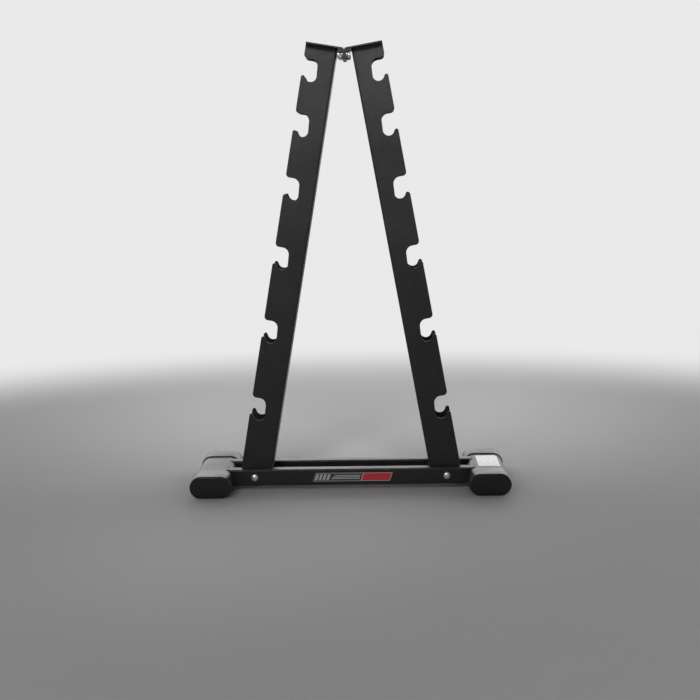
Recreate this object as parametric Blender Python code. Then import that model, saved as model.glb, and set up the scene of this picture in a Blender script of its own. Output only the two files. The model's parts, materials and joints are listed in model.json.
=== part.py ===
"""A-frame dumbbell rack for six pairs: two notched channel uprights on a welded base.

Metres, +X to the right, +Y to the back, +Z up. The origin is on the floor under
the middle of the rack. The left and right halves mirror each other, and a `side`
of -1 or +1 tells them apart.

Each upright has its own leaning frame, whose origin is on the upright's axis at
the height of the crossbars' tops: `out` runs across the upright, away from the
middle of the rack, and `up` runs along it towards the top.
"""

import math

import bmesh
import bpy
from mathutils import Matrix, Vector

GAP = 0.0003              # clearance left between pieces that touch

# Base: two round-sided feet that run front to back, and two crossbars between them
FOOT_X = 0.422            # middle of the rack to the middle of a foot
FOOT_LENGTH = 0.388       # over the rubber boots
TUBE_WIDTH = 0.120
TUBE_HEIGHT = 0.060
TUBE_WALL = 0.0025
BOOT_WALL = 0.0035        # how far a boot stands proud of the tube
BOOT_LENGTH = 0.090
BOOT_END = 0.006          # thickness of a boot's closed end
BOOT_ROUND = 0.005        # rounding of a boot's closed end
BAR_DEPTH = 0.040
BAR_HEIGHT = 0.050
BAR_WALL = 0.0025
BAR_ROUND = 0.004
BAR_GAP = 0.088           # clear space between the front and the rear crossbar
BAR_TOP = 0.0625

# Uprights: channels of folded plate, closed towards the middle and open outwards
LEAN = math.radians(9.8)
UPRIGHT_X = 0.292         # where an upright's axis meets the level of the bars' tops
UPRIGHT_WIDTH = 0.096
UPRIGHT_DEPTH = 0.104
PLATE = 0.004
FOLD_ROUND = 0.007        # outer radius of the channel's two folds
UPRIGHT_TOP = 1.313       # along the axis, to the underside of the top plate

# Saddles: brackets that stand on the crossbars and reach down between them
SADDLE_PLATE = 0.005
SADDLE_DROP = 0.044

# Notches: the height of each seat's lowest point, and one shape for all of them
SEAT_HEIGHTS = (0.1485, 0.3925, 0.6220, 0.8365, 1.0335, 1.2015)
SEAT_RADIUS = 0.0175
SEAT_OUT = 0.0185         # the seat's centre, out from the upright's axis
NOTCH_HEIGHT = 0.069
WALL_ANGLE = math.radians(3.4)
LIP_ANGLE = math.radians(60.0)
LIP_ROUND = 0.006
CEILING_ROUND = 0.0215
CORNER_ROUND = 0.012      # rounding of the body's outer corner above each notch
CUT_PAST_EDGE = 0.012     # how far the notch's cutter reaches outside the upright
CUT_OVERRUN = math.radians(8)

# Top plates: each covers its upright, turns down at the middle and is bolted there
CAP_PLATE = 0.005
CAP_OVERHANG = 0.020      # front and back, past the upright
CAP_BEND = 0.008          # outer radius of the turn
TAB_BOTTOM = 1.316

# Fasteners, M12
SHANK_RADIUS = 0.006
HOLE_RADIUS = 0.0065
HEX_ACROSS = 0.018
HEAD_HEIGHT = 0.0075
NUT_HEIGHT = 0.012
WASHER_RADIUS = 0.011
WASHER_THICK = 0.0025
SPRING_RADIUS = 0.0105
SPRING_THICK = 0.003
THREAD_PAST_NUT = 0.0025
HEAD_CHAMFER = 0.0012
SHANK_CHAMFER = 0.001
NUT_HEX_HEIGHT = 0.0084   # the rest of the nut is the round collar of its lock ring
COLLAR_STEP = 0.0006
COLLAR_TAPER = 0.0012
SPRING_SLIT = math.radians(7)
SPRING_SLANT = math.radians(5)
BASE_BOLT_X = 0.2965
BASE_BOLT_Z = 0.039
TOP_BOLT_Y = 0.045
TOP_BOLT_Z = 1.330
ROUND_SIDES = 24

# Badge on the front crossbar and blank label on the right foot
BADGE_X = 0.011
BADGE_LENGTH = 0.238
BADGE_HEIGHT = 0.026
BADGE_SLANT = 0.009
STICKER = 0.0006
LABEL_INNER = -0.027      # across the foot, from the foot's middle
LABEL_OUTER = 0.041
LABEL_FRONT = -0.071
LABEL_BACK = 0.083

BOOT_MIDDLE_Z = TUBE_HEIGHT / 2 + BOOT_WALL
BAR_Y = BAR_GAP / 2 + BAR_DEPTH / 2
BAR_MIDDLE_Z = BAR_TOP - BAR_HEIGHT / 2
SIDES = {"left": -1, "right": 1}
ENDS = {"front": -1, "rear": 1}


# Materials

def material(name, colour, roughness, metallic=0.0):
    mat = bpy.data.materials.new(name)
    mat.use_nodes = True
    shader = mat.node_tree.nodes["Principled BSDF"]
    shader.inputs["Base Color"].default_value = (*colour, 1.0)
    shader.inputs["Roughness"].default_value = roughness
    shader.inputs["Metallic"].default_value = metallic
    return mat


def make_materials():
    return {
        "black_paint": material("black_paint", (0.018, 0.018, 0.019), 0.45),
        "black_rubber": material("black_rubber", (0.012, 0.012, 0.012), 0.75),
        "zinc": material("zinc", (0.72, 0.73, 0.74), 0.28, 1.0),
        "badge": material("badge", (0.45, 0.45, 0.46), 0.5),
        "label": material("label", (0.85, 0.85, 0.84), 0.6),
    }


# Objects and outlines

def add_object(name, bm, mat, smooth=False):
    """Closes the bmesh into a named object whose faces point out."""
    bmesh.ops.recalc_face_normals(bm, faces=bm.faces)
    mesh = bpy.data.meshes.new(name)
    bm.to_mesh(mesh)
    bm.free()
    mesh.materials.append(mat)
    obj = bpy.data.objects.new(name, mesh)
    bpy.context.scene.collection.objects.link(obj)
    if smooth:
        mesh.shade_smooth()
        mesh.set_sharp_from_angle(angle=math.radians(30))
    return obj


def cut(obj, cutter_bm):
    """Subtracts the cutter from the object with an exact Boolean."""
    cutter = add_object(obj.name + "_cutter", cutter_bm, obj.data.materials[0])
    cutter.hide_render = True
    cutter.display_type = "WIRE"
    cutter.matrix_world = obj.matrix_world
    boolean = obj.modifiers.new("cut", "BOOLEAN")
    boolean.operation = "DIFFERENCE"
    boolean.solver = "EXACT"
    boolean.object = cutter


def arc(centre, radius, start, end, steps):
    """Points on an arc, angles in radians, both ends included."""
    middle = Vector(centre)
    angles = [start + (end - start) * i / steps for i in range(steps + 1)]
    return [middle + radius * Vector((math.cos(a), math.sin(a))) for a in angles]


def rectangle(width, height, radius, steps=3):
    """A rounded rectangle about the origin, anticlockwise."""
    x = width / 2 - radius
    y = height / 2 - radius
    points = []
    for turn, (cx, cy) in enumerate(((x, y), (-x, y), (-x, -y), (x, -y))):
        start = turn * math.pi / 2
        points += arc((cx, cy), radius, start, start + math.pi / 2, steps)
    return points


def oval(width, height, steps=10):
    """A flat oval: two half circles joined by straight runs, anticlockwise."""
    radius = height / 2
    x = width / 2 - radius
    right = arc((x, 0), radius, -math.pi / 2, math.pi / 2, steps)
    left = arc((-x, 0), radius, math.pi / 2, 3 * math.pi / 2, steps)
    return right + left


def hexagon(across, chamfer=0.0):
    """A hexagon with ROUND_SIDES points, its corners trimmed to a circle by the chamfer."""
    corner = across / math.sqrt(3) - chamfer
    points = []
    for i in range(ROUND_SIDES):
        angle = 2 * math.pi * i / ROUND_SIDES
        from_flat = (angle + math.pi / 6) % (math.pi / 3) - math.pi / 6
        reach = min(across / 2 / math.cos(from_flat), corner)
        points.append(Vector((reach * math.cos(angle), reach * math.sin(angle))))
    return points


def circle(radius):
    return arc((0, 0), radius, 0, 2 * math.pi * (1 - 1 / ROUND_SIDES), ROUND_SIDES - 1)


def loft(bm, rings, joined=False):
    """Skins rings of equal length. Ends are capped, or the last ring joins the first."""
    loops = [[bm.verts.new(point) for point in ring] for ring in rings]
    pairs = list(zip(loops, loops[1:]))
    if joined:
        pairs.append((loops[-1], loops[0]))
    for low, high in pairs:
        for i in range(len(low)):
            j = (i + 1) % len(low)
            bm.faces.new((low[i], low[j], high[j], high[i]))
    if not joined:
        bm.faces.new(list(reversed(loops[0])))
        bm.faces.new(loops[-1])


def along_x(outline, x):
    """Stands a (y, z) outline up at the given x."""
    return [Vector((x, p[0], p[1])) for p in outline]


def along_y(outline, y):
    """Stands an (x, z) outline up at the given y."""
    return [Vector((p[0], y, p[1])) for p in outline]


def along_z(outline, z):
    return [Vector((p[0], p[1], z)) for p in outline]


def moved(outline, dx, dy):
    offset = Vector((dx, dy))
    return [Vector(p[:2]) + offset for p in outline]


# The upright's own frame

def upright_matrix(side):
    """Places an upright's frame: local X is `out` times the side, local Z is `up`."""
    origin = Matrix.Translation((side * UPRIGHT_X, 0, BAR_TOP))
    return origin @ Matrix.Rotation(-side * LEAN, 4, "Y")


def up_at_height(z, out):
    """The `up` value at which a line `out` from the axis reaches height z."""
    return (z - BAR_TOP - out * math.sin(LEAN)) / math.cos(LEAN)


# Uprights

def channel_outline():
    """The folded channel's section, (out, y), with its web at the inner edge."""
    inner = -UPRIGHT_WIDTH / 2
    outer = UPRIGHT_WIDTH / 2
    face = UPRIGHT_DEPTH / 2
    fold = FOLD_ROUND
    quarter = math.pi / 2
    outside = [Vector((outer, -face))]
    outside += reversed(arc((inner + fold, -face + fold), fold, 2 * quarter, 3 * quarter, 4))
    outside += reversed(arc((inner + fold, face - fold), fold, quarter, 2 * quarter, 4))
    outside += [Vector((outer, face)), Vector((outer, face - PLATE))]
    inside = arc((inner + fold, face - fold), fold - PLATE, quarter, 2 * quarter, 4)
    inside += arc((inner + fold, -face + fold), fold - PLATE, 2 * quarter, 3 * quarter, 4)
    return outside + inside + [Vector((outer, -face + PLATE))]


def notch_outline(seat):
    """One J-shaped notch, (out, up), with its seat's lowest point at `seat`."""
    edge = UPRIGHT_WIDTH / 2
    beyond = edge + CUT_PAST_EDGE
    ceiling = seat + NOTCH_HEIGHT
    centre = Vector((SEAT_OUT, seat + SEAT_RADIUS))

    # Inner wall: tangent to the seat, up to the rounded corner under the ceiling
    wall_run = Vector((math.sin(WALL_ANGLE), math.cos(WALL_ANGLE)))
    wall_foot = centre + SEAT_RADIUS * Vector((-wall_run.y, wall_run.x))
    corner_up = ceiling - CEILING_ROUND
    corner_out = wall_foot.x + (corner_up - wall_foot.y) * wall_run.x / wall_run.y
    corner_out += CEILING_ROUND / wall_run.y
    corner = arc((corner_out, corner_up), CEILING_ROUND, math.pi / 2, math.pi - WALL_ANGLE, 5)

    # Lip: a slope tangent to the seat, ending in a small round tip at the outer edge
    slope = Vector((math.cos(LIP_ANGLE), math.sin(LIP_ANGLE)))
    normal = Vector((-slope.y, slope.x))
    slope_foot = centre - SEAT_RADIUS * normal
    tip_out = edge - LIP_ROUND
    run = (tip_out - (slope_foot - LIP_ROUND * normal).x) / slope.x
    tip = slope_foot - LIP_ROUND * normal + run * slope
    tip_arc = arc(tip, LIP_ROUND, LIP_ANGLE + math.pi / 2, CUT_OVERRUN, 5)

    upper_centre = (edge - CORNER_ROUND, ceiling + CORNER_ROUND)
    upper = arc(upper_centre, CORNER_ROUND, -CUT_OVERRUN, -math.pi / 2, 5)
    bowl = arc(centre, SEAT_RADIUS, math.pi - WALL_ANGLE, 1.5 * math.pi + LIP_ANGLE, 14)
    outside = [Vector((beyond, tip.y - LIP_ROUND)), Vector((beyond, ceiling + CORNER_ROUND))]
    return outside + upper + corner + bowl + tip_arc


def add_upright(word, side, mats):
    outline = channel_outline()
    foot = BAR_TOP + 2 * GAP + SADDLE_PLATE
    bm = bmesh.new()
    low = [Vector((side * p.x, p.y, up_at_height(foot, p.x))) for p in outline]
    high = [Vector((side * p.x, p.y, UPRIGHT_TOP - GAP)) for p in outline]
    loft(bm, [low, high])
    upright = add_object(word + "_upright", bm, mats["black_paint"])
    upright.matrix_world = upright_matrix(side)

    notches = bmesh.new()
    for seat in SEAT_HEIGHTS:
        shape = [Vector((side * p.x, p.y)) for p in notch_outline(seat)]
        loft(notches, [along_y(shape, -UPRIGHT_DEPTH), along_y(shape, UPRIGHT_DEPTH)])
    cut(upright, notches)


# Top plates

def cap_outline():
    """The bent plate's section in the rack's (x, z), for the right-hand side."""
    def point(out, up):
        x = UPRIGHT_X - up * math.sin(LEAN) + out * math.cos(LEAN)
        z = BAR_TOP + up * math.cos(LEAN) + out * math.sin(LEAN)
        return Vector((x, z))

    top = UPRIGHT_TOP + CAP_PLATE
    end_high = point(UPRIGHT_WIDTH / 2, top)
    end_low = point(UPRIGHT_WIDTH / 2, UPRIGHT_TOP)
    face = GAP / 2
    bend_x = face + CAP_BEND
    drop = math.tan(LEAN)
    # The bend's centre lies a radius below the plate's sloping top
    bend_z = end_high.y - (end_high.x - bend_x) * drop - CAP_BEND / math.cos(LEAN)
    start = math.pi / 2 + LEAN
    outer = arc((bend_x, bend_z), CAP_BEND, start, math.pi, 6)
    inner = arc((bend_x, bend_z), CAP_BEND - CAP_PLATE, math.pi, start, 6)
    tab = [Vector((face, TAB_BOTTOM)), Vector((face + CAP_PLATE, TAB_BOTTOM))]
    return [end_high] + outer + tab + inner + [end_low]


def add_top_plate(word, side, mats):
    half = UPRIGHT_DEPTH / 2 + CAP_OVERHANG
    outline = [Vector((side * p.x, p.y)) for p in cap_outline()]
    bm = bmesh.new()
    loft(bm, [along_y(outline, -half), along_y(outline, half)])
    plate = add_object(word + "_top_plate", bm, mats["black_paint"])
    holes = bmesh.new()
    for y in (-TOP_BOLT_Y, TOP_BOLT_Y):
        hole = moved(circle(HOLE_RADIUS), y, TOP_BOLT_Z)
        loft(holes, [along_x(hole, -2 * CAP_PLATE), along_x(hole, 2 * CAP_PLATE)])
    cut(plate, holes)


# Base

def add_foot_tube(word, side, mats):
    half = FOOT_LENGTH / 2 - BOOT_END - GAP
    outer = moved(oval(TUBE_WIDTH, TUBE_HEIGHT), side * FOOT_X, BOOT_MIDDLE_Z)
    bore = oval(TUBE_WIDTH - 2 * TUBE_WALL, TUBE_HEIGHT - 2 * TUBE_WALL)
    inner = moved(bore, side * FOOT_X, BOOT_MIDDLE_Z)
    bm = bmesh.new()
    rings = [along_y(outer, -half), along_y(outer, half)]
    rings += [along_y(inner, half), along_y(inner, -half)]
    loft(bm, rings, joined=True)
    add_object(word + "_foot_tube", bm, mats["black_paint"], smooth=True)


def add_boot(name, side, end, mats):
    """A cup that pushes over the end of a foot tube, closed and rounded outside."""
    width = TUBE_WIDTH + 2 * BOOT_WALL
    height = TUBE_HEIGHT + 2 * BOOT_WALL
    far = FOOT_LENGTH / 2
    mouth = far - BOOT_LENGTH
    rings = []
    for i in range(5):
        angle = i * math.pi / 8
        inset = BOOT_ROUND * (1 - math.sin(angle))
        y = far - BOOT_ROUND * (1 - math.cos(angle))
        rings.append((oval(width - 2 * inset, height - 2 * inset), y))
    rings.append((oval(width, height), mouth))
    hollow = oval(TUBE_WIDTH + 2 * GAP, TUBE_HEIGHT + 2 * GAP)
    rings.append((hollow, mouth))
    rings.append((hollow, far - BOOT_END))
    centre = (side * FOOT_X, BOOT_MIDDLE_Z)
    bm = bmesh.new()
    loft(bm, [along_y(moved(shape, *centre), end * y) for shape, y in rings])
    add_object(name, bm, mats["black_rubber"], smooth=True)


def add_crossbar(word, end, mats):
    """A rectangular tube, its ends shaped to the feet's round sides, with two bolt holes."""
    outer = moved(rectangle(BAR_DEPTH, BAR_HEIGHT, BAR_ROUND), end * BAR_Y, BAR_MIDDLE_Z)
    bore = rectangle(BAR_DEPTH - 2 * BAR_WALL, BAR_HEIGHT - 2 * BAR_WALL, BAR_ROUND - BAR_WALL)
    inner = moved(bore, end * BAR_Y, BAR_MIDDLE_Z)
    half = FOOT_X - TUBE_HEIGHT / 2
    bm = bmesh.new()
    rings = [along_x(outer, -half), along_x(outer, half)]
    rings += [along_x(inner, half), along_x(inner, -half)]
    loft(bm, rings, joined=True)
    bar = add_object(word + "_crossbar", bm, mats["black_paint"], smooth=True)

    cutters = bmesh.new()
    front = end * BAR_Y - BAR_DEPTH
    back = end * BAR_Y + BAR_DEPTH
    for side in SIDES.values():
        foot = oval(TUBE_WIDTH + 2 * GAP, TUBE_HEIGHT + 2 * GAP, 16)
        foot = moved(foot, side * FOOT_X, BOOT_MIDDLE_Z)
        loft(cutters, [along_y(foot, front), along_y(foot, back)])
        hole = moved(circle(HOLE_RADIUS), side * BASE_BOLT_X, BASE_BOLT_Z)
        loft(cutters, [along_y(hole, front), along_y(hole, back)])
    cut(bar, cutters)


def add_saddle(word, side, mats):
    """A bracket with its plate on both bars and two legs down between them."""
    rest = BAR_TOP + GAP
    top = rest + SADDLE_PLATE
    edge = UPRIGHT_DEPTH / 2
    leg = BAR_GAP / 2 - GAP
    leg_in = leg - SADDLE_PLATE
    foot = rest - SADDLE_DROP
    profile = [(-edge, rest), (-leg, rest), (-leg, foot), (-leg_in, foot), (-leg_in, rest)]
    profile += [(leg_in, rest), (leg_in, foot), (leg, foot), (leg, rest), (edge, rest)]
    profile += [(edge, top), (-edge, top)]
    middle = side * (UPRIGHT_X - (top - BAR_TOP) * math.tan(LEAN))
    half = UPRIGHT_WIDTH / 2 / math.cos(LEAN)
    bm = bmesh.new()
    loft(bm, [along_x(profile, middle - half), along_x(profile, middle + half)])
    saddle = add_object(word + "_saddle", bm, mats["black_paint"])
    hole_bm = bmesh.new()
    hole = moved(circle(HOLE_RADIUS), side * BASE_BOLT_X, BASE_BOLT_Z)
    loft(hole_bm, [along_y(hole, -BAR_GAP), along_y(hole, BAR_GAP)])
    cut(saddle, hole_bm)


# Fasteners, built along +Z from the face that they clamp and then turned into place

def bolt_mesh(grip):
    """A hex bolt: its head stands above z = 0 and its shank runs down through the grip."""
    bm = bmesh.new()
    rings = [
        along_z(circle(SHANK_RADIUS - SHANK_CHAMFER), -grip),
        along_z(circle(SHANK_RADIUS), SHANK_CHAMFER - grip),
        along_z(circle(SHANK_RADIUS), 0),
        along_z(hexagon(HEX_ACROSS), 0),
        along_z(hexagon(HEX_ACROSS), HEAD_HEIGHT - HEAD_CHAMFER / 2),
        along_z(hexagon(HEX_ACROSS, HEAD_CHAMFER), HEAD_HEIGHT),
    ]
    loft(bm, rings)
    return bm


def washer_mesh():
    """A flat ring from z = 0 to its thickness."""
    bm = bmesh.new()
    rim = circle(WASHER_RADIUS)
    hole = circle(SHANK_RADIUS + GAP)
    thick = WASHER_THICK
    rings = [along_z(rim, 0), along_z(rim, thick), along_z(hole, thick), along_z(hole, 0)]
    loft(bm, rings, joined=True)
    return bm


def nut_mesh():
    """A lock nut: a hexagon with a lower round collar on its outer face."""
    bm = bmesh.new()
    hole = circle(SHANK_RADIUS + GAP)
    collar = HEX_ACROSS / 2 - COLLAR_STEP
    rings = [
        along_z(hexagon(HEX_ACROSS), 0),
        along_z(hexagon(HEX_ACROSS), NUT_HEX_HEIGHT),
        along_z(circle(collar), NUT_HEX_HEIGHT + COLLAR_STEP),
        along_z(circle(collar - COLLAR_TAPER), NUT_HEIGHT),
        along_z(hole, NUT_HEIGHT),
        along_z(hole, 0),
    ]
    loft(bm, rings, joined=True)
    return bm


def spring_washer_mesh():
    """A split ring, open by a narrow slanted slit."""
    bm = bmesh.new()
    inner = SHANK_RADIUS + GAP
    outer = SPRING_RADIUS
    lift = Vector((0, 0, SPRING_THICK))
    rings = []
    for i in range(ROUND_SIDES + 1):
        angle = SPRING_SLIT + (2 * math.pi - 2 * SPRING_SLIT) * i / ROUND_SIDES
        low = Vector((math.cos(angle - SPRING_SLANT), math.sin(angle - SPRING_SLANT), 0))
        high = Vector((math.cos(angle + SPRING_SLANT), math.sin(angle + SPRING_SLANT), 0))
        rings.append([low * inner, low * outer, high * outer + lift, high * inner + lift])
    loft(bm, rings)
    return bm


def place(name, bm, mats, at, direction):
    """Turns a fastener's +Z to the direction and puts its z = 0 at the place."""
    turn = Vector((0, 0, 1)).rotation_difference(direction).to_matrix().to_4x4()
    bm.transform(Matrix.Translation(at) @ turn)
    add_object(name, bm, mats["zinc"], smooth=True)


def add_fastener(prefix, mats, head_at, outward, clamp, spring=False):
    """A bolt with its washers and nut through `clamp` of material, head on the outward side."""
    face = Vector(head_at)
    out = Vector(outward)
    place(prefix + "_head_washer", washer_mesh(), mats, face + out * GAP, out)
    level = GAP + WASHER_THICK + GAP
    if spring:
        place(prefix + "_spring_washer", spring_washer_mesh(), mats, face + out * level, out)
        level += SPRING_THICK + GAP
    behind = clamp + GAP
    nut_from = behind + WASHER_THICK + GAP
    grip = level + nut_from + NUT_HEIGHT + THREAD_PAST_NUT
    place(prefix + "_bolt", bolt_mesh(grip), mats, face + out * level, out)
    place(prefix + "_nut_washer", washer_mesh(), mats, face - out * behind, -out)
    place(prefix + "_nut", nut_mesh(), mats, face - out * nut_from, -out)


def add_base_fasteners(mats):
    clamp = BAR_DEPTH + GAP + SADDLE_PLATE
    for end_word, end in ENDS.items():
        for side_word, side in SIDES.items():
            face = (side * BASE_BOLT_X, end * (BAR_GAP / 2 + BAR_DEPTH), BASE_BOLT_Z)
            add_fastener(f"{end_word}_{side_word}", mats, face, (0, end, 0), clamp)


def add_top_fasteners(mats):
    clamp = 2 * CAP_PLATE + GAP
    for end_word, end in ENDS.items():
        face = (GAP / 2 + CAP_PLATE, end * TOP_BOLT_Y, TOP_BOLT_Z)
        add_fastener(f"top_{end_word}", mats, face, (1, 0, 0), clamp, spring=True)


# Badge and label

def add_badge(mats):
    """A thin blank strip with slanted ends on the front bar's face."""
    half = BADGE_LENGTH / 2
    tall = BADGE_HEIGHT / 2
    corners = [(-half - BADGE_SLANT, -tall), (half - BADGE_SLANT, -tall)]
    corners += [(half, tall), (-half, tall)]
    shape = moved(corners, BADGE_X, BAR_MIDDLE_Z)
    face = BAR_GAP / 2 + BAR_DEPTH + GAP
    bm = bmesh.new()
    loft(bm, [along_y(shape, -face), along_y(shape, -face - STICKER)])
    add_object("front_badge", bm, mats["badge"])


def add_label(mats):
    """A blank label on the right foot, following the tube's top and rounded side."""
    radius = TUBE_HEIGHT / 2
    flat = TUBE_WIDTH / 2 - radius
    wrap = (LABEL_OUTER - flat) / radius
    under = radius + GAP
    over = under + STICKER
    low = [Vector((LABEL_INNER, under))]
    low += reversed(arc((flat, 0), under, math.pi / 2 - wrap, math.pi / 2, 4))
    high = [Vector((LABEL_INNER, over))]
    high += reversed(arc((flat, 0), over, math.pi / 2 - wrap, math.pi / 2, 4))
    outline = moved(low + high[::-1], FOOT_X, BOOT_MIDDLE_Z)
    bm = bmesh.new()
    loft(bm, [along_y(outline, LABEL_FRONT), along_y(outline, LABEL_BACK)])
    add_object("foot_label", bm, mats["label"])


def main():
    for obj in list(bpy.data.objects):
        bpy.data.objects.remove(obj, do_unlink=True)
    mats = make_materials()
    for word, side in SIDES.items():
        add_foot_tube(word, side, mats)
        add_saddle(word, side, mats)
        add_upright(word, side, mats)
        add_top_plate(word, side, mats)
        for end_word, end in ENDS.items():
            add_boot(f"{end_word}_{word}_boot", side, end, mats)
    for word, end in ENDS.items():
        add_crossbar(word, end, mats)
    add_base_fasteners(mats)
    add_top_fasteners(mats)
    add_badge(mats)
    add_label(mats)


main()
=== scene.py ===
"""Looks of the A-frame dumbbell rack: powder-coated steel, rubber boots and zinc-plated bolts.

Every CAD node is replaced by a finer piece in the same place, with rounded edges and threads, and
weld beads are added where the steel parts join. Metres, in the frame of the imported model: +X to
the right, +Y to the back, +Z up. A `side` of -1 or +1 tells the left half from the right one.
"""

import json
import math

import bmesh
import bpy
from mathutils import Matrix, Vector, noise

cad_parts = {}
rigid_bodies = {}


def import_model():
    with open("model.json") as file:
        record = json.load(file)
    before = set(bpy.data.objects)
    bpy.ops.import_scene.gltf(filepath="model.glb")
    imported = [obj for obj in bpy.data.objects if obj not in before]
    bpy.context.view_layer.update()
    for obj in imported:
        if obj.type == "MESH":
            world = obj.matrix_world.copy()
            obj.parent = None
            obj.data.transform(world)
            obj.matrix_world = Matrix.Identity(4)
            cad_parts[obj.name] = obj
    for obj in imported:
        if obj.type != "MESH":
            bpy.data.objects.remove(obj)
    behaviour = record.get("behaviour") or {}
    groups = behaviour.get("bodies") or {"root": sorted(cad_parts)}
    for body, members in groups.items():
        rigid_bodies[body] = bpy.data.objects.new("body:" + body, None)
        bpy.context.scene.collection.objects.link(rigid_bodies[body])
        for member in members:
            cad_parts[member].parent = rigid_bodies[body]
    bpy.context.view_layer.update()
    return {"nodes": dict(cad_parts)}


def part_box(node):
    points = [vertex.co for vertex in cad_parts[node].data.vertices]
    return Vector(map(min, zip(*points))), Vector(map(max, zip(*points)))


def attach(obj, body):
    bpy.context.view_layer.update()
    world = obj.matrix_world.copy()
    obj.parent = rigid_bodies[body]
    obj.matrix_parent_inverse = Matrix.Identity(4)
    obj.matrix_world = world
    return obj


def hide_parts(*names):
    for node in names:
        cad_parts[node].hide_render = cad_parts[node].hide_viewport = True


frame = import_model()

SIDES = {"left": -1, "right": 1}
ENDS = {"front": -1, "rear": 1}
GAP = 0.0003              # clearance between pieces that touch, as in the CAD model

# Feet and crossbars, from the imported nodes
TUBE_LOW, TUBE_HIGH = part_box("right_foot_tube")
BOOT_LOW, BOOT_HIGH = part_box("rear_right_boot")
BAR_LOW, BAR_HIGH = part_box("front_crossbar")
SADDLE_LOW, SADDLE_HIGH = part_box("right_saddle")
TUBE_WIDTH = TUBE_HIGH.x - TUBE_LOW.x
TUBE_HEIGHT = TUBE_HIGH.z - TUBE_LOW.z
FOOT_X = (TUBE_LOW.x + TUBE_HIGH.x) / 2
FOOT_Z = (TUBE_LOW.z + TUBE_HIGH.z) / 2
TUBE_WALL = 0.0025
BOOT_WALL = (BOOT_HIGH.x - BOOT_LOW.x - TUBE_WIDTH) / 2
BOOT_END = 0.006          # thickness of a boot's closed end
BOOT_ROUND = 0.005
BOOT_LIP = 0.0014         # rounding of a boot's open rim
BOOT_EDGE = 0.0003
BAR_TOP = BAR_HIGH.z
BAR_DEPTH = BAR_HIGH.y - BAR_LOW.y
BAR_HEIGHT = BAR_HIGH.z - BAR_LOW.z
BAR_GAP = -2 * BAR_HIGH.y     # the open space between the two crossbars
BAR_WALL = 0.0025
BAR_ROUND = 0.004

# Uprights. `out` is square to an upright's axis, away from the rack's middle. `up` runs along it,
# from the level of the bars' tops.
LEAN = math.radians(9.8)
UPRIGHT_X = 0.292         # where an upright's axis meets the level of the bars' tops
UPRIGHT_WIDTH = 0.096
UPRIGHT_DEPTH = SADDLE_HIGH.y - SADDLE_LOW.y
UPRIGHT_TOP = 1.313
PLATE = 0.004
FOLD_ROUND = 0.007
SADDLE_PLATE = 0.005
SEAT_HEIGHTS = (0.1485, 0.3925, 0.6220, 0.8365, 1.0335, 1.2015)    # lowest point of each seat, up
SEAT_RADIUS = 0.0175
SEAT_OUT = 0.0185         # middle of a seat
NOTCH_HEIGHT = 0.069      # from a seat's lowest point to the notch's ceiling
WALL_ANGLE = math.radians(3.4)
LIP_ANGLE = math.radians(60.0)
LIP_ROUND = 0.006
CEILING_ROUND = 0.0215
CORNER_ROUND = 0.012      # where a notch's ceiling meets the flange's outer edge
CAP_PLATE = 0.005
CAP_BEND = 0.008
EDGE = 0.0007             # rounding that the paint leaves on cut plate edges

# Weld beads
BEAD_STEP = 0.0009        # between the rings of a bead
BEAD_SIDES = 12
RIPPLE = 0.0034           # length of one ripple
RIPPLE_DEPTH = 0.16       # share of the radius lost along a ripple
WOBBLE = 0.10             # unevenness, as a share of the radius
WOBBLE_SCALE = 90
TAPER_FROM = 0.25         # an open bead's radius at its ends, as a share of the full one
TAPER_RINGS = 5           # rings over which it widens
BAR_BEAD = 0.0018         # radius, round a crossbar's end
CHANNEL_BEAD = 0.0024     # radius, at an upright's ends
BEAD_INSET = 0.0008       # a bead's middle, away from the faces that it joins
CHANNEL_RUN = 0.030       # how far out the beads inside a channel run
HEAD_BARE = (0.012, 0.006)    # left without a bead at a flange's fold and at its outer edge
HEAD_OFF = 0.0006         # the outer beads' middle, away from the flange

# Fasteners, M12
SHANK_RADIUS = 0.0059
HOLE_RADIUS = 0.0065
HEX_ACROSS = 0.018
HEAD_HEIGHT = 0.0075
THREAD_PITCH = 0.00175
THREAD_DEPTH = 0.00085
THREAD_LENGTH = 0.019
THREAD_STEPS = 8          # rings in one turn of thread
THREAD_CHAMFER = 0.0003
HEX_SIDES = 72            # points round a hexagon, so that its corners fall on points
HEX_CHAMFER = math.radians(30)
HEX_EDGE = 0.00025
TOP_OF_HEX = 0.0086       # radius of the round top of a head or nut
CROWN = 0.0024            # rise of a bolt head's domed top
CROWN_RINGS = (1.0, 0.85, 0.7, 0.55, 0.4, 0.25, 0.1)    # their radii, as shares of TOP_OF_HEX
NUT_HEX = 0.7             # share of a lock nut's height that is hexagon
COLLAR_INSET = 0.0016     # middle of the rolled collar's rounding, in from its rim and its top
COLLAR_ROUND = 0.0014
NYLON_RADIUS = 0.0072
NYLON_TOP = 0.0004        # below the collar's top, at the nylon ring's rim
NYLON_BORE = 0.0010       # below the collar's top, at the nylon ring's hole
WASHER_EDGE = 0.0004
SLIT = math.radians(6)    # half the spring washer's split
SLANT = math.radians(6)   # turn of a spring washer's wire from its lower to its upper face
SPRING_LEAD = 0.0004      # rise of a spring washer's wire over one turn
SPRING_EDGE = 0.0003

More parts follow.
